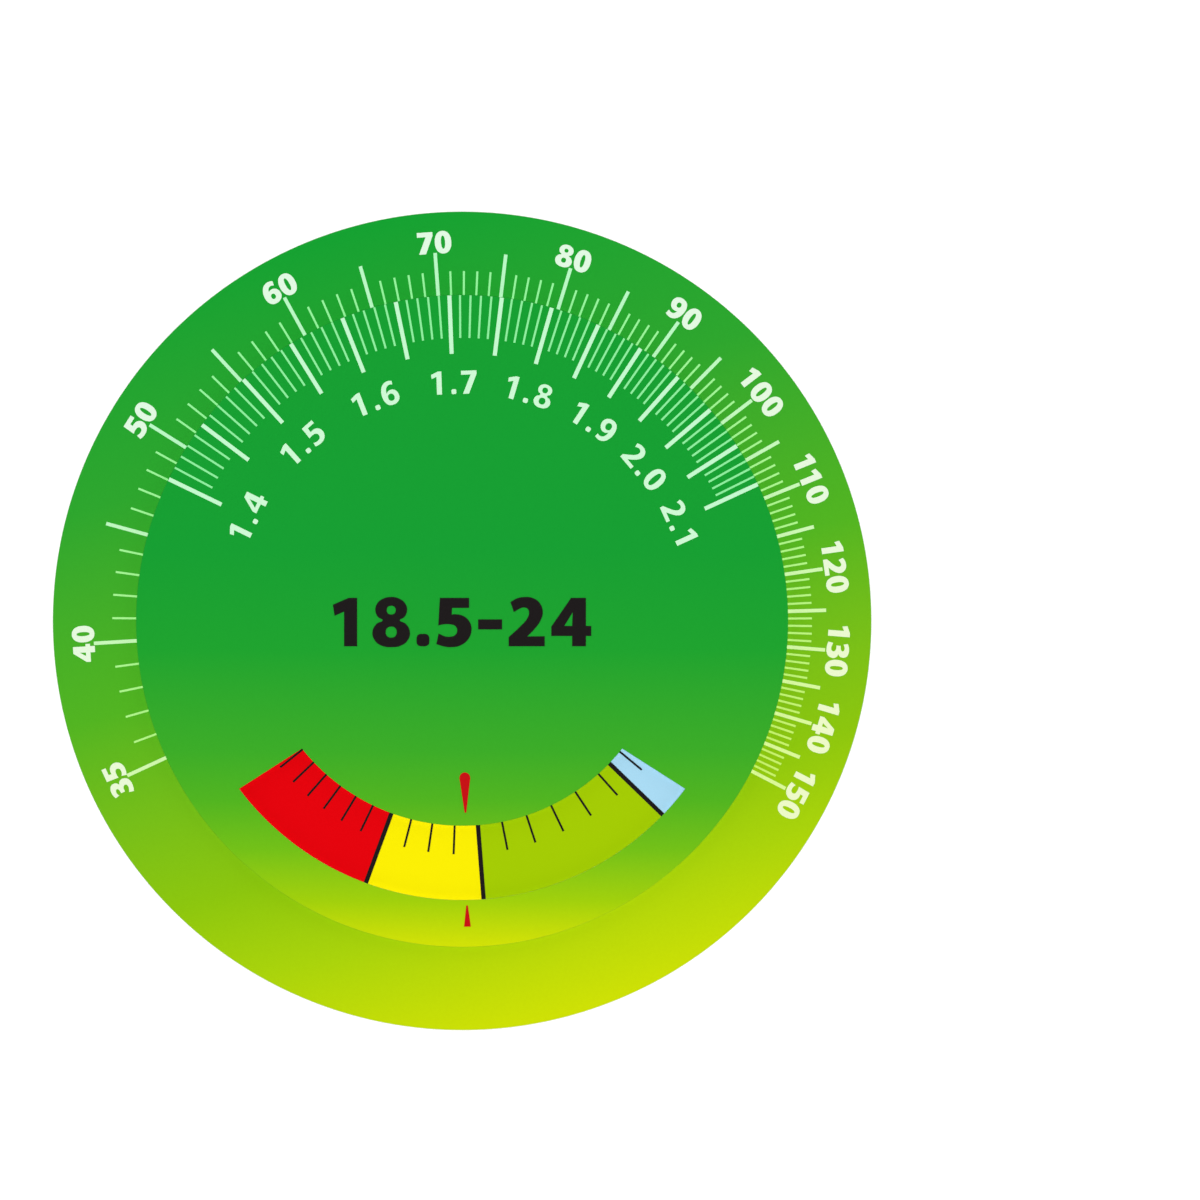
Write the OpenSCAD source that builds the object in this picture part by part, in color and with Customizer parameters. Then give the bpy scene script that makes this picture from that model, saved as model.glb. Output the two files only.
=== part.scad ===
// Body mass scale wheel: a circular slide chart of two laminated plastic discs.
// Body weights are printed round the base and heights round the dial, on scales
// that are logarithmic in angle. Setting height against weight turns the dial's
// window to the matching body mass index, weight / height^2, on the base.
// Millimetres. The wheel lies face up: +Z up, 12 o'clock at +Y, the pivot axis
// on Z and the back face at z = 0. Angles on the scales run clockwise from
// 12 o'clock, in degrees.

/* [Base disc] */
// Diameter of the base disc
base_d = 120; // [116:0.5:150]
// Thickness of the rear core sheet, which holds the pivot cap
base_rear_ply_t = 0.8; // [0.6:0.05:1.6]
// Thickness of the front core sheet, which the pivot cap hooks under
base_front_ply_t = 0.3; // [0.2:0.05:0.8]
// Thickness of each printed outer sheet, on the base and on the dial
sheet_t = 0.15; // [0.1:0.05:0.5]
// Thickness of the printed ink
ink_t = 0.03; // [0.02:0.01:0.06]

/* [Dial] */
// Diameter of the dial
dial_d = 95.5; // [92:0.5:100]
// Thickness of the sheet that holds the stud's head from below
dial_rear_ply_t = 0.15; // [0.1:0.05:0.5]
// Thickness of the dial's core sheet, as thick as the stud's head
dial_core_ply_t = 0.45; // [0.35:0.05:1.2]

/* [Window] */
// Radius of the window's inner edge
window_inner_r = 30; // [28:0.5:32]
// Radius of the window's outer edge
window_outer_r = 40.9; // [38:0.1:42.5]
// Half of the angle between the window's straight ends
window_half_angle = 57.4; // [40:0.2:65]
// Distance below the pivot of the point where the straight ends would meet
window_apex_drop = 3.7; // [0:0.1:8]

/* [Pivot] */
// Diameter of the stud's shank, the journal of the joint
shank_d = 6; // [4.5:0.1:7]
// Diameter of the stud's flat head
head_d = 10; // [9:0.1:14]
// Diameter of the cap
cap_d = 11; // [9:0.1:11.2]
// Diameter of the spigot that snaps into the cap
spigot_d = 3.6; // [2.6:0.1:4]
// How far the snap bead stands out from the spigot
bead_h = 0.15; // [0.05:0.05:0.2]
// Radial running clearance round the shank
running_clearance = 0.06; // [0.03:0.01:0.1]
// Radial clearance between pieces that are cemented or snapped together
fit_clearance = 0.05; // [0.02:0.01:0.1]
// Radial clearance of the cap in its pocket
pocket_clearance = 0.2; // [0.1:0.05:0.3]
// Clearance above and below the cap in its pocket
cap_play = 0.08; // [0.05:0.01:0.1]
// Chamfer on the rims of the stud's head and the cap
pivot_chamfer = 0.1; // [0.05:0.05:0.2]

/* [Slip washer] */
// Diameter of the film washer between the discs
washer_d = 20; // [16:0.5:40]
// Thickness of the film washer
washer_t = 0.15; // [0.1:0.05:0.5]
// Clearance between the film washer and the dial
slip_gap = 0.05; // [0.03:0.01:0.1]

/* [Scales] */
// Turn of the weight scale for each doubling of the weight
doubling_angle = 110.6; // [95:0.1:110.6]
// Width of the fine graduations
fine_line_w = 0.3; // [0.2:0.02:0.5]

/* [Weight scale] */
// Lightest weight on the scale, in kg
weight_min = 35; // [30:5:50]
// Heaviest weight on the scale, in kg
weight_max = 150; // [120:5:180]
// Angle of the lightest weight
weight_start = -114.8; // [-140:0.2:-90]
// Length of the 1 kg graduations beyond the dial's rim
weight_minor_len = 3.5; // [2:0.1:4.5]
// Length of the 5 kg graduations beyond the dial's rim
weight_major_len = 6.3; // [4.6:0.1:7]
// Length of the 5 kg graduations where the scale is crowded
weight_crowded_len = 5.6; // [4.6:0.1:7]
// Weight from which the scale is crowded, in kg
weight_crowded_from = 100; // [80:5:150]
// Width of the 5 kg graduations
weight_major_w = 0.52; // [0.3:0.02:0.9]
// How far the weight graduations run in under the dial
weight_tuck = 0.8; // [0.2:0.1:2]

/* [Height scale] */
// Shortest height on the scale, in cm
height_min = 140; // [120:5:150]
// Tallest height on the scale, in cm
height_max = 210; // [190:5:220]
// Angle of the shortest height with the dial at rest
height_start = -64.2; // [-80:0.2:-50]
// Length of the 1 cm graduations
height_minor_len = 6.3; // [3:0.1:7]
// Length of the 5 cm graduations
height_major_len = 8.6; // [7.1:0.1:10]
// Width of the 5 cm graduations
height_major_w = 0.6; // [0.4:0.02:1]

/* [Index scale] */
// Lowest index on the scale, in kg/m2
index_min = 8; // [8:1:16]
// Index where the normal zone starts, in kg/m2
index_normal = 18.5; // [18:0.5:19]
// Index where the overweight zone starts, in kg/m2
index_over = 24; // [23:0.5:26]
// Index where the obese zone starts, in kg/m2
index_obese = 28; // [27:0.5:32]
// Highest index on the scale, in kg/m2
index_max = 76; // [50:1:76]
// Margin of the coloured zones beyond the window's inner and outer edges
zone_margin = 1.2; // [0.5:0.1:1.5]
// How far the fine index graduations reach into the window
index_tick_len = 4.2; // [2:0.1:6]
// Width of the lines between the zones
boundary_w = 0.64; // [0.4:0.02:1]

/* [Pointers] */
// Angle of the pointers with the dial at rest
pointer_angle = 179; // [175:0.5:185]
// Length of the pointer between the pivot and the window
upper_pointer_len = 5.9; // [4:0.1:8]
// Width of that pointer's round head
upper_pointer_w = 1.6; // [1:0.1:2.4]
// Distance of that pointer's tip from the window
upper_pointer_gap = 1.9; // [0.5:0.1:2.5]
// Length of the pointer beyond the window
lower_pointer_len = 3.1; // [2:0.1:3.4]
// Width of that pointer's flat end
lower_pointer_w = 1; // [0.6:0.1:1.6]
// Distance of that pointer's tip from the window
lower_pointer_gap = 0.8; // [0.5:0.1:1.5]
// Width of both pointers' blunt tips
pointer_tip_w = 0.25; // [0.1:0.05:0.4]

/* [Hidden] */
$fn = 180;
eps = 1;           // how far cutters run past what they cut
major_step = 5;    // every fifth graduation is a long one
unit_ratio = 100;  // centimetres in a metre

// Heights of the layers, from the back face up
rear_ply_z = sheet_t;
front_ply_z = rear_ply_z + base_rear_ply_t;
base_face_z = front_ply_z + base_front_ply_t;
base_top_z = base_face_z + sheet_t;
washer_top_z = base_top_z + washer_t;
dial_z = washer_top_z + slip_gap;
dial_core_z = dial_z + dial_rear_ply_t;
dial_face_z = dial_core_z + dial_core_ply_t;
dial_top_z = dial_face_z + sheet_t;

// The scales: equal ratios take equal angles, and height counts twice because
// the index divides by its square
efold_angle = doubling_angle / ln(2);
function weight_angle(kg) = weight_start + efold_angle * ln(kg / weight_min);
function height_angle(cm) = height_start + 2 * efold_angle * ln(cm / height_min);
function index_of(kg, cm) = kg / pow(cm / unit_ratio, 2);
// Index that the pointers read at rest: the one at which weight_angle(kg)
// equals height_angle(cm)
rest_index = index_of(weight_min, height_min)
    * exp((height_start - weight_start) / efold_angle);
function index_angle(index) = pointer_angle + efold_angle * ln(index / rest_index);

base_r = base_d / 2;
dial_r = dial_d / 2;
zone_inner_r = window_inner_r - zone_margin;
zone_outer_r = window_outer_r + zone_margin;

// A flat disc from z up
module disc(r, z, t) {
    translate([0, 0, z]) cylinder(r = r, h = t);
}

// A hole on the pivot axis, right through the layer from z to z + t
module pivot_hole(r, z, t) {
    disc(r, z - eps, t + 2 * eps);
}

// One graduation: a straight printed bar along a radius
module graduation(angle, r_in, r_out, w, z) {
    rotate([0, 0, -angle])
        translate([-w / 2, r_in, z])
            cube([w, r_out - r_in, ink_t]);
}

// A wedge that opens from the pivot axis between two clockwise angles less
// than 180 degrees apart, reaching past radius r
module wedge(from, to, r, z, t) {
    reach = r / cos((to - from) / 4) + eps;
    middle = (from + to) / 2;
    translate([0, 0, z])
        linear_extrude(height = t)
            polygon([[0, 0], for (a = [from, middle, to]) reach * [sin(a), cos(a)]]);
}

// One coloured zone: the part of a printed ring between two clockwise angles
module zone(from, to) {
    intersection() {
        difference() {
            disc(zone_outer_r, base_top_z, ink_t);
            disc(zone_inner_r, base_top_z - eps, ink_t + 2 * eps);
        }
        wedge(from, to, zone_outer_r, base_top_z - eps, ink_t + 2 * eps);
    }
}

// The die-cut window, through a dial layer from z to z + t: the stretch of a
// ring between two straight ends that converge below the pivot
module window(z, t) {
    reach = 2 * window_outer_r;
    difference() {
        intersection() {
            disc(window_outer_r, z - eps, t + 2 * eps);
            translate([0, -window_apex_drop, z - eps])
                linear_extrude(height = t + 2 * eps)
                    polygon([
                        [0, 0],
                        reach * [sin(window_half_angle), -cos(window_half_angle)],
                        [0, -reach / cos(window_half_angle)],
                        reach * [-sin(window_half_angle), -cos(window_half_angle)]
                    ]);
        }
        disc(window_inner_r, z - 2 * eps, t + 4 * eps);
    }
}

// Printed sheet on the back of the base
module base_back_sheet() {
    color("limegreen") disc(base_r, 0, sheet_t);
}

// Rear core sheet of the base, with the pocket that the pivot cap turns in
module base_rear_ply() {
    color("white")
        difference() {
            disc(base_r, rear_ply_z, base_rear_ply_t);
            pivot_hole(cap_d / 2 + pocket_clearance, rear_ply_z, base_rear_ply_t);
        }
}

// Front core sheet of the base, with the bearing hole
module base_front_ply() {
    color("white")
        difference() {
            disc(base_r, front_ply_z, base_front_ply_t);
            pivot_hole(shank_d / 2 + running_clearance, front_ply_z, base_front_ply_t);
        }
}

// Printed sheet on the front of the base, pierced with the bearing hole
module base_face_sheet() {
    color("yellowgreen")
        difference() {
            disc(base_r, base_face_z, sheet_t);
            pivot_hole(shank_d / 2 + running_clearance, base_face_z, sheet_t);
        }
}

// 1 kg graduations, which start under the dial's rim
module weight_ticks_minor() {
    color("honeydew")
        for (kg = [weight_min : weight_max])
            if (kg % major_step != 0)
                graduation(weight_angle(kg), dial_r - weight_tuck, dial_r + weight_minor_len,
                    fine_line_w, base_top_z);
}

// 5 kg graduations, shorter where the numbers crowd them
module weight_ticks_major() {
    color("white")
        for (kg = [weight_min : major_step : weight_max]) {
            len = kg < weight_crowded_from ? weight_major_len : weight_crowded_len;
            graduation(weight_angle(kg), dial_r - weight_tuck, dial_r + len,
                weight_major_w, base_top_z);
        }
}

// Coloured zones of the index scale
module zone_underweight() {
    color("lightblue") zone(index_angle(index_min), index_angle(index_normal));
}

module zone_normal() {
    color("yellowgreen") zone(index_angle(index_normal), index_angle(index_over));
}

module zone_overweight() {
    color("yellow") zone(index_angle(index_over), index_angle(index_obese));
}

module zone_obese() {
    color("red") zone(index_angle(index_obese), index_angle(index_max));
}

// Graduations at every whole index that has no line across the zones
module bmi_ticks() {
    boundaries = [index_normal, index_over, index_obese];
    color("black")
        for (index = [index_min + 1 : index_max - 1])
            if (len(search(index, boundaries)) == 0)
                graduation(index_angle(index), zone_inner_r, window_inner_r + index_tick_len,
                    fine_line_w, base_top_z + ink_t);
}

// Lines across the band where one zone meets the next
module bmi_boundaries() {
    color("black")
        for (index = [index_normal, index_over, index_obese])
            graduation(index_angle(index), zone_inner_r, zone_outer_r,
                boundary_w, base_top_z + ink_t);
}

// Film washer between the printed faces
module slip_washer() {
    color("gainsboro")
        difference() {
            disc(washer_d / 2, base_top_z, washer_t);
            pivot_hole(shank_d / 2 + pocket_clearance, base_top_z, washer_t);
        }
}

// Thin sheet under the dial, which the stud's shank passes through
module dial_rear_ply() {
    color("white")
        difference() {
            disc(dial_r, dial_z, dial_rear_ply_t);
            pivot_hole(shank_d / 2 + fit_clearance, dial_z, dial_rear_ply_t);
            window(dial_z, dial_rear_ply_t);
        }
}

// Core sheet of the dial, cut round the stud's head
module dial_core_ply() {
    color("white")
        difference() {
            disc(dial_r, dial_core_z, dial_core_ply_t);
            pivot_hole(head_d / 2 + fit_clearance, dial_core_z, dial_core_ply_t);
            window(dial_core_z, dial_core_ply_t);
        }
}

// Printed face of the dial, unbroken over the pivot
module dial_face_sheet() {
    color("forestgreen")
        difference() {
            disc(dial_r, dial_face_z, sheet_t);
            window(dial_face_z, sheet_t);
        }
}

// 1 cm graduations, from the dial's rim inwards
module height_ticks_minor() {
    color("honeydew")
        for (cm = [height_min : height_max])
            if (cm % major_step != 0)
                graduation(height_angle(cm), dial_r - height_minor_len, dial_r - fit_clearance,
                    fine_line_w, dial_top_z);
}

// 5 cm graduations, from the dial's rim inwards
module height_ticks_major() {
    color("white")
        for (cm = [height_min : major_step : height_max])
            graduation(height_angle(cm), dial_r - height_major_len, dial_r - fit_clearance,
                height_major_w, dial_top_z);
}

// Drop-shaped pointer between the pivot and the window, its tip outwards. Its
// straight sides run off the round head as tangents
module pointer_upper() {
    tip_r = window_inner_r - upper_pointer_gap;
    head = upper_pointer_w / 2;
    head_r = tip_r - upper_pointer_len + head;
    taper = asin((head - pointer_tip_w / 2) / (tip_r - head_r));
    color("red")
        rotate([0, 0, -pointer_angle])
            union() {
                translate([0, head_r, dial_top_z]) cylinder(r = head, h = ink_t, $fn = 48);
                translate([0, 0, dial_top_z])
                    linear_extrude(height = ink_t)
                        polygon([
                            [-head * cos(taper), head_r + head * sin(taper)],
                            [-pointer_tip_w / 2, tip_r],
                            [pointer_tip_w / 2, tip_r],
                            [head * cos(taper), head_r + head * sin(taper)]
                        ]);
            }
}

// Wedge-shaped pointer beyond the window, its tip inwards
module pointer_lower() {
    tip_r = window_outer_r + lower_pointer_gap;
    end_r = tip_r + lower_pointer_len;
    color("red")
        rotate([0, 0, -pointer_angle])
            translate([0, 0, dial_top_z])
                linear_extrude(height = ink_t)
                    polygon([
                        [-pointer_tip_w / 2, tip_r], [-lower_pointer_w / 2, end_r],
                        [lower_pointer_w / 2, end_r], [pointer_tip_w / 2, tip_r]
                    ]);
}

cap_bottom_z = rear_ply_z + cap_play;
cap_top_z = front_ply_z - cap_play;
bead_z = (cap_bottom_z + cap_top_z) / 2;

// Outline of the spigot and its snap bead, grown by gap, as [r, z] points from
// the foot up
function spigot_outline(gap) = [
    [spigot_d / 2 + gap, cap_bottom_z],
    [spigot_d / 2 + gap, bead_z - bead_h],
    [spigot_d / 2 + bead_h + gap, bead_z],
    [spigot_d / 2 + gap, bead_z + bead_h],
    [spigot_d / 2 + gap, cap_top_z]
];

// Male half of the pivot: flat head in the dial, shank through the base and a
// beaded spigot, all turned from one outline
module pivot_stud() {
    color("white")
        rotate_extrude()
            polygon(concat(
                [[0, cap_bottom_z]],
                spigot_outline(0),
                [
                    [shank_d / 2, cap_top_z],
                    [shank_d / 2, dial_core_z],
                    [head_d / 2, dial_core_z],
                    [head_d / 2, dial_face_z - pivot_chamfer],
                    [head_d / 2 - pivot_chamfer, dial_face_z],
                    [0, dial_face_z]
                ]
            ));
}

// Female half of the pivot: a grooved ring that hooks under the base's front
// core sheet
module pivot_cap() {
    color("white")
        rotate_extrude()
            polygon(concat(
                spigot_outline(fit_clearance),
                [
                    [cap_d / 2, cap_top_z],
                    [cap_d / 2, cap_bottom_z + pivot_chamfer],
                    [cap_d / 2 - pivot_chamfer, cap_bottom_z]
                ]
            ));
}

base_back_sheet();
base_rear_ply();
base_front_ply();
base_face_sheet();
weight_ticks_minor();
weight_ticks_major();
zone_underweight();
zone_normal();
zone_overweight();
zone_obese();
bmi_ticks();
bmi_boundaries();
slip_washer();
dial_rear_ply();
dial_core_ply();
dial_face_sheet();
height_ticks_minor();
height_ticks_major();
pointer_upper();
pointer_lower();
pivot_stud();
pivot_cap();
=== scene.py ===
import math

import bpy
import numpy as np
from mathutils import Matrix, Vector
from mathutils.geometry import delaunay_2d_cdt


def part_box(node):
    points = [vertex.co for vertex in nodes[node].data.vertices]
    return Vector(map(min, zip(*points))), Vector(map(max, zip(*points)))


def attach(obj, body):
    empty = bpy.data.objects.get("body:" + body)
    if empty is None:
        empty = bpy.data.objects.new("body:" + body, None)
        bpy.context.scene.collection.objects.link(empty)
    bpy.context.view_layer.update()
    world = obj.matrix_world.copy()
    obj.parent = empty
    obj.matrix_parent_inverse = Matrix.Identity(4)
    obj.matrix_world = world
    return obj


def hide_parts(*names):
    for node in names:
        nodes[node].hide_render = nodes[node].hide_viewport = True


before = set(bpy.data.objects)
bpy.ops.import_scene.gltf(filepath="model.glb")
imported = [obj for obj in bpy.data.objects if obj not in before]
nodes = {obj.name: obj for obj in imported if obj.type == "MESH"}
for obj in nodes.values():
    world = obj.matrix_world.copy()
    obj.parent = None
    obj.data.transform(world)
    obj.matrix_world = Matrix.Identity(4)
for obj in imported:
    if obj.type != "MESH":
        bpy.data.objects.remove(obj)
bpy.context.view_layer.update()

MM = 0.001


# Base core: two plies of rigid white PVC sheet, die-cut to a disc and laminated
# together. The rear ply is cut out round the pivot cap, and the front ply has the
# bearing hole. Only the rims of the plies show, as the white edge of the base.
def srgb(code):
    """An sRGB hex code as linear red, green, blue and alpha."""
    shares = [int(code[i:i + 2], 16) / 255 for i in (1, 3, 5)]
    return [s / 12.92 if s <= 0.04045 else ((s + 0.055) / 1.055) ** 2.4 for s in shares] + [1]


def add(tree, kind, sockets=None, **settings):
    """A new node with its settings, and with values or links in its input sockets."""
    node = tree.nodes.new(kind)
    for name, value in settings.items():
        setattr(node, name, value)
    for key, value in (sockets or {}).items():
        if isinstance(value, bpy.types.NodeSocket):
            tree.links.new(value, node.inputs[key])
        else:
            node.inputs[key].default_value = value
    return node


def new_finish(name):
    """An empty material, its node tree and its Object coordinates."""
    finish = bpy.data.materials.new(name)
    finish.use_nodes = True
    finish.node_tree.nodes.clear()
    coords = add(finish.node_tree, "ShaderNodeTexCoord").outputs["Object"]
    return finish, finish.node_tree, coords


def die_cut_pvc():
    """Rigid white PVC with a die-cut edge: faint upright strokes from the steel rule."""
    finish, tree, coords = new_finish("die_cut_white_pvc")
    stroke_width, stroke_length = 0.25 * MM, 20 * MM
    drawn = add(tree, "ShaderNodeMapping", {
        "Vector": coords,
        "Scale": (1 / stroke_width, 1 / stroke_width, 1 / stroke_length)})
    strokes = add(tree, "ShaderNodeTexNoise", {
        "Vector": drawn.outputs[0], "Scale": 1, "Detail": 2, "Roughness": 0.6}).outputs["Fac"]
    shade = add(tree, "ShaderNodeMix", {
        "Factor": strokes, "A": srgb("#E4E3DC"), "B": srgb("#F1F1EC")}, data_type="RGBA")
    gloss = add(tree, "ShaderNodeMapRange", {"Value": strokes, "To Min": 0.42, "To Max": 0.6})
    relief = add(tree, "ShaderNodeBump", {
        "Height": strokes, "Strength": 0.35, "Distance": 0.02 * MM})
    surface = add(tree, "ShaderNodeBsdfPrincipled", {
        "Base Color": shade.outputs["Result"], "Roughness": gloss.outputs[0],
        "Normal": relief.outputs[0], "IOR": 1.53, "Specular IOR Level": 0.4})
    add(tree, "ShaderNodeOutputMaterial", {"Surface": surface.outputs[0]})
    return finish


def circle(radius, segments=360):
    """A round outline, run anticlockwise."""
    turns = [2 * math.pi * i / segments for i in range(segments)]
    return [Vector((radius * math.cos(a), radius * math.sin(a))) for a in turns]


MITRE_LIMIT = 0.4  # least divisor of a mitre, so that a sharp corner doesn't run far out
SAME_SPOT = 1e-7  # points of an outline that are nearer than this are one
HOLE_SEGMENTS = 96
SHARP_ANGLE = math.radians(15)  # between faces, above which an edge isn't smoothed


def grown(loop, reach):
    """A closed outline moved out by reach, away from the material on its left."""
    moved = []
    for i, point in enumerate(loop):
        into = (point - loop[i - 1]).normalized()
        out_of = (loop[(i + 1) % len(loop)] - point).normalized()
        side = Vector((into.y + out_of.y, -into.x - out_of.x))
        moved.append(point + side * (reach / max(1 + into.dot(out_of), MITRE_LIMIT)))
    return moved


def filled(loops):
    """The points and anticlockwise triangles that fill outlines. Material is on their left."""
    points, edges = [], []
    for loop in loops:
        first = len(points)
        points += loop
        edges += [(first + i, first + (i + 1) % len(loop)) for i in range(len(loop))]
    corners, _, triangles, *_ = delaunay_2d_cdt(points, edges, [], 0, SAME_SPOT)
    corners = np.array([c[:] for c in corners])
    triangles = np.array([t for t in triangles if len(t) == 3])
    a, b, c = (corners[triangles[:, i]] for i in range(3))
    flip = np.cross(b - a, c - a) < 0
    triangles[flip] = triangles[flip][:, ::-1]
    start = np.array([points[i][:] for i, _ in edges])
    end = np.array([points[i][:] for _, i in edges])
    middle = ((a + b + c) / 3)[:, None]
    left = np.cross(end - start, middle - start) > 0
    low, high = start[:, 1] <= middle[..., 1], end[:, 1] <= middle[..., 1]
    turns = (low & ~high & left).sum(1) - (~low & high & ~left).sum(1)
    return corners, triangles[turns > 0]


def sheet(name, loops, rim, core_finish, print_on=None, print_finish=None, bleed=0):
    """A flat piece cut from sheet. Its rim is a list of (inset, height), from the bottom up.
    Print covers its top or bottom, and runs over so many steps of the rim as bleed says."""
    points, faces, finishes = [], [], []
    count = sum(len(loop) for loop in loops)
    for inset, height in rim:
        for loop in loops:
            points += [(p.x * MM, p.y * MM, height) for p in grown(loop, -inset)]
    steps = len(rim) - 1
    inked = {"bottom": range(bleed), "top": range(steps - bleed, steps)}.get(print_on, ())
    for level in range(steps):
        first = level * count
        finishes += [1 if level in inked else 0] * count
        for loop in loops:
            n = len(loop)
            for i in range(n):
                a, b = first + i, first + (i + 1) % n
                faces.append((a, b, b + count, a + count))
            first += n
    for cap, level in (("bottom", 0), ("top", steps)):
        _, triangles = filled([grown(loop, -rim[level][0]) for loop in loops])
        order = -1 if cap == "bottom" else 1
        faces += [tuple(int(i) + level * count for i in t[::order]) for t in triangles]
        finishes += [1 if cap == print_on else 0] * len(triangles)
    mesh = bpy.data.meshes.new(name)
    mesh.from_pydata(points, [], faces)
    mesh.materials.append(core_finish)
    if print_finish:
        mesh.materials.append(print_finish)
    mesh.polygons.foreach_set("material_index", finishes)
    mesh.shade_smooth()
    mesh.set_sharp_from_angle(angle=SHARP_ANGLE)
    piece = bpy.data.objects.new(name, mesh)
    bpy.context.scene.collection.objects.link(piece)
    return piece


GLUE_LINE = 0.02  # mm, half of the hairline groove where two plies meet at the rim
white_pvc = die_cut_pvc()
pocket_r, bearing_r = 5.7, 3.06
for name, node, hole_r in (("base_rear_core", "base_rear_ply", pocket_r),
                           ("base_front_core", "base_front_ply", bearing_r)):
    low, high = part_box(node)
    core = sheet(name, [circle(high.y / MM), circle(hole_r, HOLE_SEGMENTS)[::-1]], [
        (GLUE_LINE, low.z), (0, low.z + GLUE_LINE * MM),
        (0, high.z - GLUE_LINE * MM), (GLUE_LINE, high.z)], white_pvc)
    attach(core, "base")
    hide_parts(node)


# Base covers: thin PVC sheets printed with a green to yellow blend, laminated on
# the back and the front of the core under a matt film, and die-cut with it. The
# cut leaves a fine unprinted white edge that is rolled over a little.
def blended(tree, coords, bearing, reach, stops):
    """A colour that blends up a bearing in degrees, through stops from -reach to reach in mm."""
    across = add(tree, "ShaderNodeMapping", {
        "Vector": coords, "Location": (0, 0.5, 0), "Rotation": (0, 0, math.radians(bearing)),
        "Scale": (0.5 / (reach * MM),) * 3})
    height = add(tree, "ShaderNodeSeparateXYZ", {0: across.outputs[0]}).outputs["Y"]
    blend = add(tree, "ShaderNodeValToRGB", {"Fac": height})
    ramp = blend.color_ramp
    ramp.elements[1].position, ramp.elements[1].color = (stops[-1][0] + 1) / 2, srgb(stops[-1][1])
    ramp.elements[0].position, ramp.elements[0].color = (stops[0][0] + 1) / 2, srgb(stops[0][1])
    for share, code in stops[1:-1]:
        ramp.elements.new((share + 1) / 2).color = srgb(code)
    return blend.outputs["Color"]


def printed_pvc(name, *blend):
    """Matt-filmed PVC, printed with a blend."""
    finish, tree, coords = new_finish(name)
    colour = blended(tree, coords, *blend)
    # Ink lies a little unevenly, in patches of half a millimetre
    patches = add(tree, "ShaderNodeTexNoise", {
        "Vector": coords, "Scale": 1 / (0.5 * MM), "Detail": 2}).outputs["Fac"]
    evenness = add(tree, "ShaderNodeMapRange", {"Value": patches, "To Min": 0.975, "To Max": 1.025})
    printed = add(tree, "ShaderNodeVectorMath", {
        0: colour, "Scale": evenness.outputs[0]}, operation="SCALE")
    # The film's own tooth is a few hundredths of a millimetre: drawn at 0.3 mm to show
    tooth = add(tree, "ShaderNodeTexNoise", {
        "Vector": coords, "Scale": 1 / (0.3 * MM), "Detail": 3, "Roughness": 0.55}).outputs["Fac"]
    relief = add(tree, "ShaderNodeBump", {
        "Height": tooth, "Strength": 0.25, "Distance": 0.004 * MM})
    wipe = add(tree, "ShaderNodeTexNoise", {
        "Vector": coords, "Scale": 1 / (9 * MM), "Detail": 2}).outputs["Fac"]
    gloss = add(tree, "ShaderNodeMapRange", {"Value": wipe, "To Min": 0.29, "To Max": 0.34})
    surface = add(tree, "ShaderNodeBsdfPrincipled", {
        "Base Color": printed.outputs[0], "Roughness": gloss.outputs[0],
        "Normal": relief.outputs[0], "IOR": 1.5, "Specular IOR Level": 0.3})
    add(tree, "ShaderNodeOutputMaterial", {"Surface": surface.outputs[0]})
    return finish


ROLLED_EDGE = 0.05  # mm, of the die-cut edge on the outer faces
ROLL_STEP = ROLLED_EDGE * 0.3  # mm, both ways, of the one step that rounds it
front_bearing, blend_reach = -15, 60  # degrees and mm
base_front_print = printed_pvc("printed_pvc_base_front", front_bearing, blend_reach, [
    (-1, "#D0E201"), (-0.71, "#AAD407"), (-0.5, "#8DC70A"),
    (0, "#52B520"), (0.5, "#2DA72D"), (1, "#12A231")])
base_back_print = printed_pvc("printed_pvc_base_back", 0, blend_reach, [
    (-1, "#D3E502"), (-0.61, "#A0D00A"), (-0.31, "#79C116"), (0, "#59B724"),
    (0.46, "#2CA728"), (1, "#1AA230")])

low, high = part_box("base_back_sheet")
base_back = sheet("base_back_cover", [circle(high.y / MM)], [
    (ROLLED_EDGE, low.z), (ROLL_STEP, low.z + ROLL_STEP * MM),
    (0, low.z + ROLLED_EDGE * MM), (0, high.z - GLUE_LINE * MM), (GLUE_LINE, high.z)],
    white_pvc, "bottom", base_back_print)
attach(base_back, "base")
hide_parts("base_back_sheet")

low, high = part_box("base_face_sheet")
bearing = circle(bearing_r, HOLE_SEGMENTS)[::-1]
base_face = sheet("base_face_cover", [circle(high.y / MM), bearing], [
    (GLUE_LINE, low.z), (0, low.z + GLUE_LINE * MM), (0, high.z - ROLLED_EDGE * MM),
    (ROLL_STEP, high.z - ROLL_STEP * MM), (ROLLED_EDGE, high.z)],
    white_pvc, "top", base_front_print)
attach(base_face, "base")
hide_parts("base_face_sheet")
base_top = high.z


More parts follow.
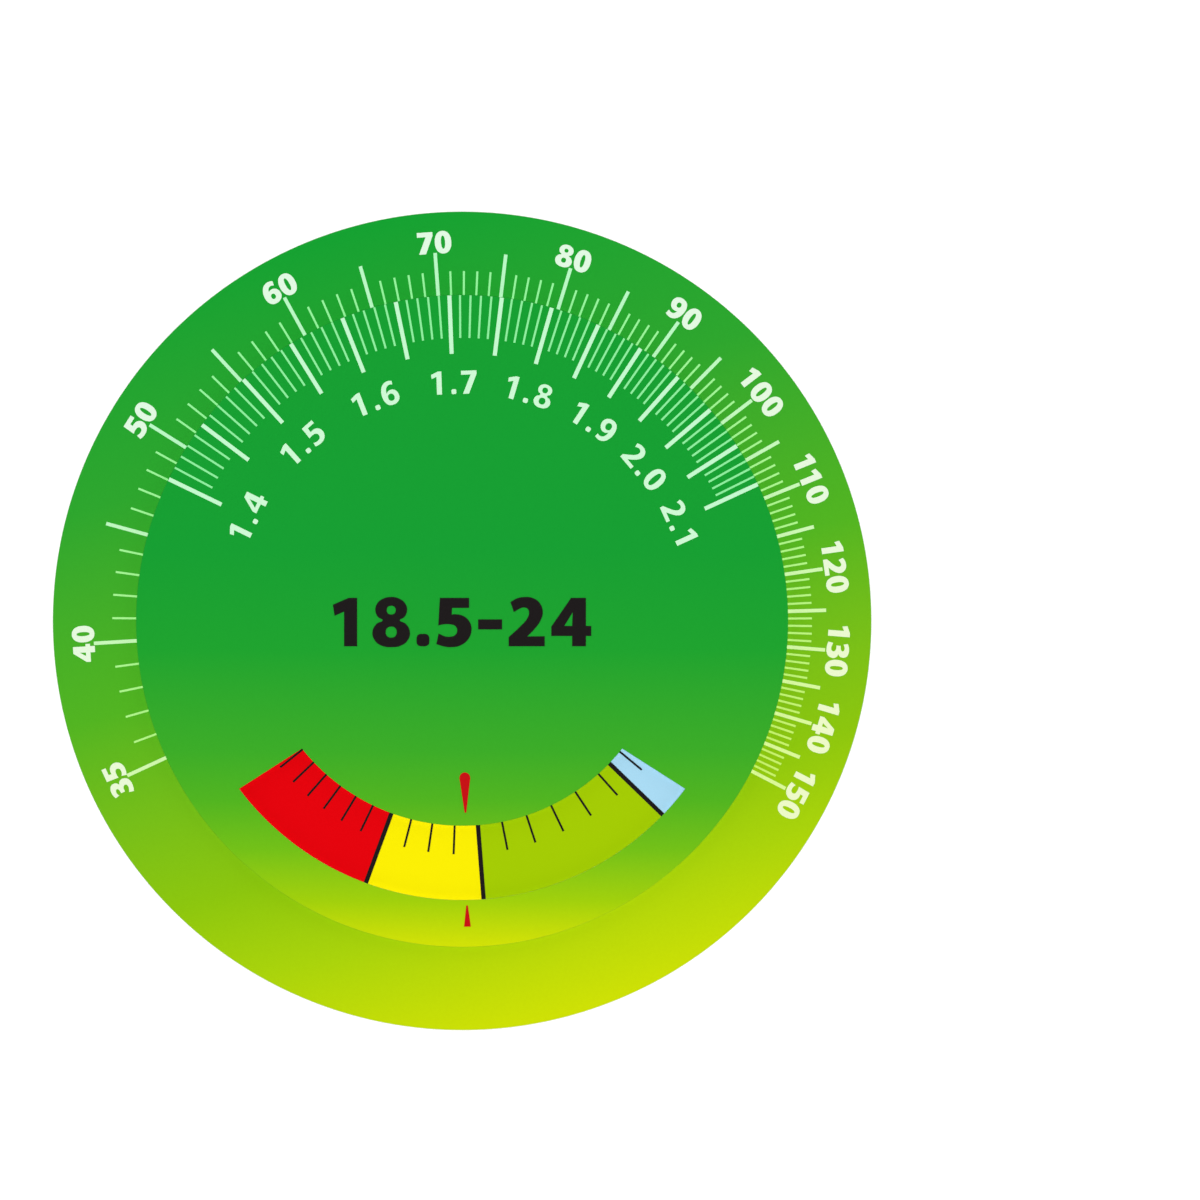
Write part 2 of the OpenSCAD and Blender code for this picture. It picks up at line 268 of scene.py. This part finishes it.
# Weight graduations: one line for each kilogram and a heavier one for every fifth,
# in white screen ink so thin that the print beneath it tints it: cooler on the
# green, yellower on the lime, and most of all in the fine lines.
def screen_ink(name, colour):
    """Screen ink: a satin film with a trace of the mesh, in one colour or tinted by a blend."""
    finish, tree, coords = new_finish(name)
    mesh_marks = add(tree, "ShaderNodeTexNoise", {
        "Vector": coords, "Scale": 1 / (0.12 * MM), "Detail": 2}).outputs["Fac"]
    cover = add(tree, "ShaderNodeMapRange", {"Value": mesh_marks, "To Min": 0.965, "To Max": 1.02})
    ink = srgb(colour)[:3] if isinstance(colour, str) else blended(tree, coords, *colour)
    laid = add(tree, "ShaderNodeVectorMath", {0: ink, "Scale": cover.outputs[0]}, operation="SCALE")
    gloss = add(tree, "ShaderNodeMapRange", {"Value": mesh_marks, "To Min": 0.3, "To Max": 0.38})
    relief = add(tree, "ShaderNodeBump", {
        "Height": mesh_marks, "Strength": 0.3, "Distance": 0.004 * MM})
    surface = add(tree, "ShaderNodeBsdfPrincipled", {
        "Base Color": laid.outputs[0], "Roughness": gloss.outputs[0],
        "Normal": relief.outputs[0], "IOR": 1.5, "Specular IOR Level": 0.3})
    add(tree, "ShaderNodeOutputMaterial", {"Surface": surface.outputs[0]})
    return finish


def coat(node, finish):
    """Gives a CAD piece its finish."""
    piece = nodes[node]
    if not piece.material_slots:
        piece.data.materials.append(finish)
    for place in piece.material_slots:
        place.material = finish


coat("weight_ticks_major", screen_ink("thin_white_ink_base_lines", (
    front_bearing, blend_reach, [(-0.5, "#DFFC9A"), (0, "#D0FCB7"), (0.6, "#BCFCC7")])))
coat("weight_ticks_minor", screen_ink("thin_white_ink_base_fine_lines", (
    front_bearing, blend_reach, [(-0.5, "#CDF66D"), (0, "#B4FB8E"), (0.7, "#98FAA0")])))


# Weight numerals: heavy white figures in the same ink, standing on the outer ends
# of the long lines with their heads outwards. Each figure is drawn as outlines in
# hundredths of its height: smooth points, and corners where marked.
C = "corner"
HANDLE_RATIO = 2.56  # of a smooth point's span to its handle, as for automatic handles
CURVE_STEPS = 6  # from one smooth point to the next
GAP_AFTER_ONE = 0.18  # of the height, more than after the other figures


def oval(x, y, rx, ry, fullness=0.9, count=12):
    """Points round an oval, anticlockwise: an ellipse at a fullness of 1, and squarer below."""
    turns = [2 * math.pi * i / count for i in range(count)]
    return [(x + rx * math.copysign(abs(math.cos(a)) ** fullness, math.cos(a)),
             y + ry * math.copysign(abs(math.sin(a)) ** fullness, math.sin(a))) for a in turns]


SIX = [[(64, 97, C), (52, 101), (40, 102), (20, 94), (5, 72), (0, 44), (3, 22), (15, 4),
        (36, -2), (58, 4), (70, 18), (72, 33), (67, 50), (55, 61), (42, 63), (31, 60),
        (25, 54, C), (28, 68), (36, 79), (48, 83), (61, 79, C)],
       oval(37, 31.5, 12.5, 14.5)]
FIGURES = {
    "0": [oval(36, 50, 36, 52), oval(36, 50, 11, 33)],
    "1": [[(23, 0, C), (46.5, 0, C), (46.5, 100, C), (31, 100, C), (0, 86, C), (3, 66, C),
           (23, 75, C)]],
    "2": [[(0, 0, C), (71, 0, C), (71, 18, C), (33, 18, C), (51, 37), (63, 55), (67, 73),
           (60, 91), (47, 100), (32, 102), (16, 99), (4, 92, C), (10, 74, C), (20, 80),
           (30, 83), (38, 80), (42, 71), (38, 57), (22, 38), (0, 17, C)]],
    "3": [[(6, 95, C), (19, 100), (34, 102), (51, 99), (63, 90), (66, 76), (61, 62),
           (48, 54, C), (62, 48), (70, 37), (70, 25), (63, 9), (48, 0), (30, -2), (14, 0),
           (1, 4, C), (5, 23, C), (16, 19), (28, 17), (39, 20), (44, 29), (40, 39),
           (28, 44), (16, 44, C), (16, 61, C), (27, 62), (37, 66), (41, 73), (36, 81),
           (27, 84), (17, 82), (9, 78, C)]],
    "4": [[(43, 0, C), (68, 0, C), (68, 22, C), (79, 22, C), (79, 40, C), (68, 40, C),
           (68, 100, C), (40, 100, C), (0, 40, C), (0, 22, C), (43, 22, C)],
          [(43, 40, C), (22, 40, C), (43, 73, C)]],
    "5": [[(8, 100, C), (65, 100, C), (65, 82, C), (30, 82, C), (29, 64, C), (39, 65),
           (55, 61), (66, 50), (70, 34), (64, 15), (49, 2), (29, -2), (13, 0), (1, 4, C),
           (5, 23, C), (16, 18), (28, 17), (39, 21), (44, 33), (39, 43), (27, 47),
           (15, 47), (5, 45, C)]],
    "6": SIX,
    "7": [[(0, 100, C), (68, 100, C), (68, 84, C), (33, 0, C), (5, 0, C), (40, 81, C),
           (0, 81, C)]],
    "8": [[(37, 102), (54, 98), (65, 88), (68, 75), (63, 62), (53, 54), (66, 45),
           (74, 29), (69, 11), (56, 1), (37, -2), (18, 1), (5, 11), (0, 29), (8, 45),
           (21, 54), (11, 62), (6, 75), (9, 88), (20, 98)],
          oval(37, 75.5, 11, 11), oval(37, 28.5, 13, 13.5)],
    "9": [[(72 - x, 100 - y, *c) for x, y, *c in outline] for outline in SIX],
    ".": [oval(11.5, 11.5, 11.5, 11.5, fullness=0.6)],
    "-": [[(0, 36, C), (46, 36, C), (46, 54, C), (0, 54, C)]],
}


def outline_loop(outline, hole):
    """A figure's outline as a closed loop, one high: anticlockwise, or clockwise for a hole."""
    spots = [Vector(p[:2]) / 100 for p in outline]
    loop = []
    for i, spot in enumerate(spots):
        after = (i + 1) % len(spots)
        handles = []
        for j, way in ((i, 1), (after, -1)):
            before, here, beyond = spots[j - 1], spots[j], spots[(j + 1) % len(spots)]
            if len(outline[j]) == 3:
                handles.append(here + (spots[after] - spot) * way / 3)
            else:
                back, on = here - before, beyond - here
                course = back.normalized() + on.normalized()
                span = (spots[after] - spot).length / (course.length * HANDLE_RATIO)
                handles.append(here + course * span * way)
        straight = len(outline[i]) == 3 and len(outline[after]) == 3
        steps = 1 if straight else CURVE_STEPS
        for step in range(steps):
            t = step / steps
            loop.append(spot * (1 - t) ** 3 + handles[0] * 3 * t * (1 - t) ** 2
                        + handles[1] * 3 * t * t * (1 - t) + spots[after] * t ** 3)
    area = sum(loop[i - 1].cross(loop[i]) for i in range(len(loop)))
    return loop[::-1] if (area > 0) == hole else loop


def figure_set(name, weight, squeeze=1):
    """All the figures as one-high, one-deep pieces, with strokes grown by weight."""
    figures = bpy.data.collections.new(name)
    for index, outlines in enumerate(FIGURES.values()):
        loops = [grown(outline_loop(outline, i > 0), weight) for i, outline in enumerate(outlines)]
        corners, triangles = filled(loops)
        used = sorted({int(i) for t in triangles for i in t})
        place = {old: new for new, old in enumerate(used)}
        flat = [tuple(place[int(i)] for i in t) for t in triangles]
        n = len(used)
        sides = {(t[i - 1], t[i]) for t in flat for i in range(3)}
        faces = [tuple(i + n for i in t) for t in flat] + [t[::-1] for t in flat]
        faces += [(a, b, b + n, a + n) for a, b in sorted(sides) if (b, a) not in sides]
        rows = [(corners[i][0], corners[i][1] * squeeze) for i in used]
        mesh = bpy.data.meshes.new(f"{name}_{index:02d}")
        mesh.from_pydata([(x, y, z) for z in (0, 1) for x, y in rows], [], faces)
        figures.objects.link(bpy.data.objects.new(mesh.name, mesh))
    return figures


def scale_row_tree():
    """Sets figures along a logarithmic scale: each is turned to its value's angle."""
    tree = bpy.data.node_groups.new("figures_on_a_scale", "GeometryNodeTree")
    tree.is_modifier = True
    tree.interface.new_socket("Geometry", in_out="INPUT", socket_type="NodeSocketGeometry")
    for name, kind in (("Figures", "Collection"), ("Ink", "Material"), ("Ink depth", "Float"),
                       ("Cap height", "Float"), ("Baseline radius", "Float"),
                       ("Surface height", "Float"), ("First value", "Float"),
                       ("First angle", "Float"), ("Turn per e-fold", "Float")):
        tree.interface.new_socket(name, in_out="INPUT", socket_type=f"NodeSocket{kind}")
    tree.interface.new_socket("Geometry", in_out="OUTPUT", socket_type="NodeSocketGeometry")
    given = add(tree, "NodeGroupInput").outputs
    read = "GeometryNodeInputNamedAttribute"
    value = add(tree, read, {"Name": "value"}, data_type="FLOAT").outputs["Attribute"]
    along = add(tree, read, {"Name": "along"}, data_type="FLOAT").outputs["Attribute"]
    figure = add(tree, read, {"Name": "figure"}, data_type="INT").outputs["Attribute"]
    ratio = add(tree, "ShaderNodeMath", {0: value, 1: given["First value"]}, operation="DIVIDE")
    folds = add(tree, "ShaderNodeMath", {0: ratio.outputs[0], 1: math.e}, operation="LOGARITHM")
    angle = add(tree, "ShaderNodeMath", {
        0: folds.outputs[0], 1: given["Turn per e-fold"], 2: given["First angle"]},
        operation="MULTIPLY_ADD")
    clockwise = add(tree, "ShaderNodeMath", {0: angle.outputs[0], 1: -1}, operation="MULTIPLY")
    shift = add(tree, "ShaderNodeMath", {0: along, 1: given["Cap height"]}, operation="MULTIPLY")
    upright = add(tree, "ShaderNodeCombineXYZ", {
        "X": shift.outputs[0], "Y": given["Baseline radius"], "Z": given["Surface height"]})
    spot = add(tree, "ShaderNodeVectorRotate", {
        "Vector": upright.outputs[0], "Angle": clockwise.outputs[0]}, rotation_type="Z_AXIS")
    points = add(tree, "GeometryNodeSetPosition", {
        "Geometry": given["Geometry"], "Position": spot.outputs[0]})
    figures = add(tree, "GeometryNodeCollectionInfo", {
        "Collection": given["Figures"], "Separate Children": True, "Reset Children": True})
    turn = add(tree, "FunctionNodeAxisAngleToRotation", {
        "Axis": (0, 0, 1), "Angle": clockwise.outputs[0]})
    size = add(tree, "ShaderNodeCombineXYZ", {
        "X": given["Cap height"], "Y": given["Cap height"], "Z": given["Ink depth"]})
    row = add(tree, "GeometryNodeInstanceOnPoints", {
        "Points": points.outputs[0], "Instance": figures.outputs[0], "Pick Instance": True,
        "Instance Index": figure, "Rotation": turn.outputs[0], "Scale": size.outputs[0]})
    real = add(tree, "GeometryNodeRealizeInstances", {"Geometry": row.outputs[0]})
    inked = add(tree, "GeometryNodeSetMaterial", {
        "Geometry": real.outputs[0], "Material": given["Ink"]})
    add(tree, "NodeGroupOutput", {"Geometry": inked.outputs[0]})
    return tree


def numerals(name, labels, gap, inputs):
    """A row of numbers, from (value, text) labels, made real as one plain mesh."""
    widths = {f: max(p[0] for p in o[0]) / 100 for f, o in FIGURES.items()}
    places = {f: i for i, f in enumerate(FIGURES)}
    steps = {f: widths[f] + gap + (GAP_AFTER_ONE if f == "1" else 0) for f in FIGURES}
    rows = []
    for value, text in labels:
        left = -(sum(steps[f] for f in text[:-1]) + widths[text[-1]]) / 2
        for f in text:
            rows.append((value, left, places[f]))
            left += steps[f]
    mesh = bpy.data.meshes.new(name)
    mesh.from_pydata([(0, 0, 0)] * len(rows), [], [])
    columns = (("value", "FLOAT"), ("along", "FLOAT"), ("figure", "INT"))
    for column, (title, kind) in enumerate(columns):
        attribute = mesh.attributes.new(title, kind, "POINT")
        attribute.data.foreach_set("value", [row[column] for row in rows])
    piece = bpy.data.objects.new(name, mesh)
    bpy.context.scene.collection.objects.link(piece)
    modifier = piece.modifiers.new("figures", "NODES")
    modifier.node_group = figure_tree
    for item in figure_tree.interface.items_tree:
        if item.in_out == "INPUT" and item.name in inputs:
            modifier[item.identifier] = inputs[item.name]
    depsgraph = bpy.context.evaluated_depsgraph_get()
    made = bpy.data.meshes.new_from_object(piece.evaluated_get(depsgraph))
    piece.modifiers.clear()
    piece.data = made
    made.name = name
    return piece


figure_tree = scale_row_tree()
heavy_figures = figure_set("heavy_figures", weight=0.018, squeeze=0.965)
numeral_ink = screen_ink("thin_white_ink_base_numerals", (
    front_bearing, blend_reach, [(-0.5, "#F0FCC9"), (0, "#EBFCDE"), (0.7, "#E4FCE5")]))
DOUBLING = math.radians(110.6)  # turn of the weight scale for each doubling of the weight
E_FOLD = DOUBLING / math.log(2)  # and for each e-fold
ink_depth = 0.03 * MM
for name, weights, baseline in (("weight_numerals", [35] + list(range(40, 91, 10)), 54.0),
                                ("weight_numerals_from_100", range(100, 151, 10), 53.65)):
    row = numerals(name, [(kg, str(kg)) for kg in weights], gap=0.115, inputs={
        "Figures": heavy_figures, "Ink": numeral_ink, "Ink depth": ink_depth,
        "Cap height": 3.2 * MM, "Baseline radius": baseline * MM, "Surface height": base_top,
        "First value": 35.0, "First angle": math.radians(-114.8), "Turn per e-fold": E_FOLD})
    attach(row, "base")


# Index zones: four solid screen inks round the base, which show through the
# dial's window, with the index lines printed over them in black.
coat("zone_underweight", screen_ink("screen_ink_light_blue", "#ADDFF8"))
coat("zone_normal", screen_ink("screen_ink_lime", "#A6CE00"))
coat("zone_overweight", screen_ink("screen_ink_yellow", "#FFF200"))
coat("zone_obese", screen_ink("screen_ink_red", "#E8000A"))
black_ink = screen_ink("screen_ink_black", "#1E1A1B")
coat("bmi_ticks", black_ink)
coat("bmi_boundaries", black_ink)


# Slip washer: a clear polyester film disc between the printed faces, which keeps
# them from rubbing. The dial hides it.
def clear_film():
    """Polyester film: clear, glassy smooth, with the faint draw lines of its making."""
    finish, tree, coords = new_finish("clear_polyester_film")
    drawn = add(tree, "ShaderNodeMapping", {
        "Vector": coords, "Scale": (1 / (0.4 * MM), 1 / (8 * MM), 1 / (0.4 * MM))})
    lines = add(tree, "ShaderNodeTexNoise", {
        "Vector": drawn.outputs[0], "Scale": 1, "Detail": 1}).outputs["Fac"]
    gloss = add(tree, "ShaderNodeMapRange", {"Value": lines, "To Min": 0.08, "To Max": 0.16})
    surface = add(tree, "ShaderNodeBsdfPrincipled", {
        "Base Color": srgb("#F2F5F4"), "Roughness": gloss.outputs[0], "IOR": 1.57,
        "Transmission Weight": 0.9})
    add(tree, "ShaderNodeOutputMaterial", {"Surface": surface.outputs[0]})
    return finish


coat("slip_washer", clear_film())


# Pivot: a moulded nylon stud, its flat head hidden in the dial's core, and the
# cap that snaps on its spigot inside the base.
def moulded_nylon():
    """Natural nylon, injection moulded: milky, with fine spark-eroded grain."""
    finish, tree, coords = new_finish("moulded_natural_nylon")
    grain = add(tree, "ShaderNodeTexNoise", {
        "Vector": coords, "Scale": 1 / (0.15 * MM), "Detail": 2}).outputs["Fac"]
    shade = add(tree, "ShaderNodeMix", {
        "Factor": grain, "A": srgb("#E3DFD0"), "B": srgb("#ECE9DC")}, data_type="RGBA")
    gloss = add(tree, "ShaderNodeMapRange", {"Value": grain, "To Min": 0.38, "To Max": 0.52})
    relief = add(tree, "ShaderNodeBump", {
        "Height": grain, "Strength": 0.3, "Distance": 0.006 * MM})
    surface = add(tree, "ShaderNodeBsdfPrincipled", {
        "Base Color": shade.outputs["Result"], "Roughness": gloss.outputs[0],
        "Normal": relief.outputs[0], "IOR": 1.53, "Subsurface Weight": 0.2,
        "Subsurface Scale": 0.5 * MM})
    add(tree, "ShaderNodeOutputMaterial", {"Surface": surface.outputs[0]})
    return finish


nylon = moulded_nylon()
coat("pivot_stud", nylon)
coat("pivot_cap", nylon)


# Dial: a thin liner, a core that is cut round the stud's head, and a printed face,
# laminated and die-cut with the arched window. Its blend runs straight up.
def window_loop(inner_r, outer_r, half_angle, apex_drop, count=96):
    """The window's outline, clockwise: an arch whose straight ends aim below the pivot."""
    apex = Vector((0, -apex_drop))
    course = Vector((math.sin(half_angle), -math.cos(half_angle)))
    ends = []
    for radius in (inner_r, outer_r):
        lead = apex.dot(course)
        corner = apex + course * (math.sqrt(lead ** 2 - apex.dot(apex) + radius ** 2) - lead)
        ends.append(math.atan2(corner.x, -corner.y))
    arcs = []
    for radius, end, way in ((inner_r, ends[0], -1), (outer_r, ends[1], 1)):
        turns = [end * way * (1 - 2 * i / count) for i in range(count + 1)]
        arcs += [Vector((radius * math.sin(a), -radius * math.cos(a))) for a in turns]
    return arcs


dial_blend_reach = 47.75  # mm, the dial's radius
dial_print = printed_pvc("printed_pvc_dial", 0, dial_blend_reach, [
    (-1, "#D4E303"), (-0.86, "#A2D108"), (-0.7, "#73C116"), (-0.55, "#51B51F"),
    (-0.4, "#3CAD27"), (-0.09, "#1EA42E"), (0.22, "#15A032")])
window = window_loop(inner_r=30, outer_r=40.9, half_angle=math.radians(57.4), apex_drop=3.7)
shank_hole_r, head_hole_r = 3.05, 5.05
for name, node, hole_r in (("dial_liner", "dial_rear_ply", shank_hole_r),
                           ("dial_core", "dial_core_ply", head_hole_r)):
    low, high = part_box(node)
    ply = sheet(name, [circle(high.y / MM), circle(hole_r, HOLE_SEGMENTS)[::-1], window], [
        (GLUE_LINE, low.z), (0, low.z + GLUE_LINE * MM),
        (0, high.z - GLUE_LINE * MM), (GLUE_LINE, high.z)], white_pvc)
    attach(ply, "dial")
    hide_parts(node)

low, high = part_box("dial_face_sheet")
dial_face = sheet("dial_face_cover", [circle(high.y / MM), window], [
    (GLUE_LINE, low.z), (0, low.z + GLUE_LINE * MM), (0, high.z - ROLLED_EDGE * MM),
    (ROLL_STEP, high.z - ROLL_STEP * MM), (ROLLED_EDGE, high.z)],
    white_pvc, "top", dial_print, bleed=2)
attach(dial_face, "dial")
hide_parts("dial_face_sheet")
dial_top = high.z


# Dial printing: the height graduations with their figures in metres, the normal
# index range in black at the middle, and two red pointers beside the window.
coat("height_ticks_major", screen_ink("thin_white_ink_dial_lines", "#C7FCD1"))
coat("height_ticks_minor", screen_ink("thin_white_ink_dial_fine_lines", "#90F2A1"))
bold_figures = figure_set("bold_figures", weight=-0.011)
heights = [(cm, f"{cm / 100:.1f}") for cm in range(140, 211, 10)]
height_numerals = numerals("height_numerals", heights, gap=0.2, inputs={
    "Figures": bold_figures, "Ink": screen_ink("thin_white_ink_dial_numerals", "#D1FCD7"),
    "Ink depth": ink_depth,
    "Cap height": 3.46 * MM, "Baseline radius": 33.2 * MM, "Surface height": dial_top,
    "First value": 140.0, "First angle": math.radians(-63.9), "Turn per e-fold": 2 * E_FOLD})
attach(height_numerals, "dial")

range_numerals = numerals("range_numerals", [(1, "18.5-24")], gap=0.17, inputs={
    "Figures": heavy_figures, "Ink": black_ink, "Ink depth": ink_depth,
    "Cap height": 7.1 * MM, "Baseline radius": -3.6 * MM, "Surface height": dial_top,
    "First value": 1.0, "First angle": 0.0, "Turn per e-fold": 0.0})
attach(range_numerals, "dial")

pointer_red = screen_ink("screen_ink_deep_red", "#C81014")
coat("pointer_upper", pointer_red)
coat("pointer_lower", pointer_red)


# Stage: a matt white table that runs out to the horizon, a white light tent that
# is open overhead, a soft key lamp that shines straight down, and the camera above.
def white_table():
    """White paper: camera, glass and gloss see it a little brighter than it lights the wheel."""
    finish, tree, coords = new_finish("white_paper")
    fibres = add(tree, "ShaderNodeTexNoise", {
        "Vector": coords, "Scale": 1 / (0.6 * MM), "Detail": 2}).outputs["Fac"]
    shade = add(tree, "ShaderNodeMix", {
        "Factor": fibres, "A": (0.79, 0.79, 0.79, 1), "B": (0.82, 0.82, 0.82, 1)},
        data_type="RGBA")
    paper = add(tree, "ShaderNodeBsdfDiffuse", {"Color": shade.outputs["Result"]})
    glow = add(tree, "ShaderNodeEmission", {"Color": (1, 1, 1, 1), "Strength": 0.28})
    bright = add(tree, "ShaderNodeAddShader", {0: paper.outputs[0], 1: glow.outputs[0]})
    ray = add(tree, "ShaderNodeLightPath").outputs
    seen = add(tree, "ShaderNodeMath", {
        0: ray["Is Camera Ray"], 1: ray["Is Glossy Ray"]}, operation="MAXIMUM")
    seen = add(tree, "ShaderNodeMath", {
        0: seen.outputs[0], 1: ray["Is Transmission Ray"]}, operation="MAXIMUM")
    either = add(tree, "ShaderNodeMixShader", {
        0: seen.outputs[0], 1: paper.outputs[0], 2: bright.outputs[0]})
    add(tree, "ShaderNodeOutputMaterial", {"Surface": either.outputs[0]})
    return finish


# The table is open beneath the wheel, so that its back can be looked at from below
table_mesh = bpy.data.meshes.new("table")
opening, horizon, segments = 59.8 * MM, 40, 180
rings = circle(opening, segments) + circle(horizon, segments)
table_mesh.from_pydata([(p.x, p.y, -0.01 * MM) for p in rings], [], [
    (i, i + segments, (i + 1) % segments + segments, (i + 1) % segments)
    for i in range(segments)])
table_mesh.materials.append(white_table())
table = bpy.data.objects.new("table", table_mesh)
bpy.context.scene.collection.objects.link(table)

# The tent is white from the table up, and its top darkens to the opening
tent = bpy.data.worlds.new("light_tent")
bpy.context.scene.world = tent
tent.use_nodes = True
tree = tent.node_tree
tree.nodes.clear()
way = add(tree, "ShaderNodeTexCoord").outputs["Generated"]
rise = add(tree, "ShaderNodeSeparateXYZ", {0: way}).outputs["Z"]
top = add(tree, "ShaderNodeMapRange", {
    "Value": rise, "From Min": 0.3, "From Max": 0.85, "To Min": 1, "To Max": 0.03},
    interpolation_type="SMOOTHSTEP")
light = add(tree, "ShaderNodeBackground", {"Color": (1, 1, 1, 1), "Strength": top.outputs[0]})
add(tree, "ShaderNodeOutputWorld", {"Surface": light.outputs[0]})

key = bpy.data.objects.new("key_lamp", bpy.data.lights.new("key_lamp", "SUN"))
key.data.energy = 2.04
key.data.angle = math.radians(10)
key.visible_glossy = False
bpy.context.scene.collection.objects.link(key)

# The camera's frame is 175.8 mm wide at the face of the base, and its middle is
# 20.2 mm right of the pivot and 3.06 mm above it
camera = bpy.data.objects.new("camera", bpy.data.cameras.new("camera"))
distance, frame_width = 6, 175.8 * MM
camera.location = (20.2 * MM, 3.06 * MM, base_top + distance)
camera.data.lens = camera.data.sensor_width * distance / frame_width
camera.data.clip_end = 200
bpy.context.scene.collection.objects.link(camera)
bpy.context.scene.camera = camera
bpy.context.scene.view_settings.view_transform = "Standard"
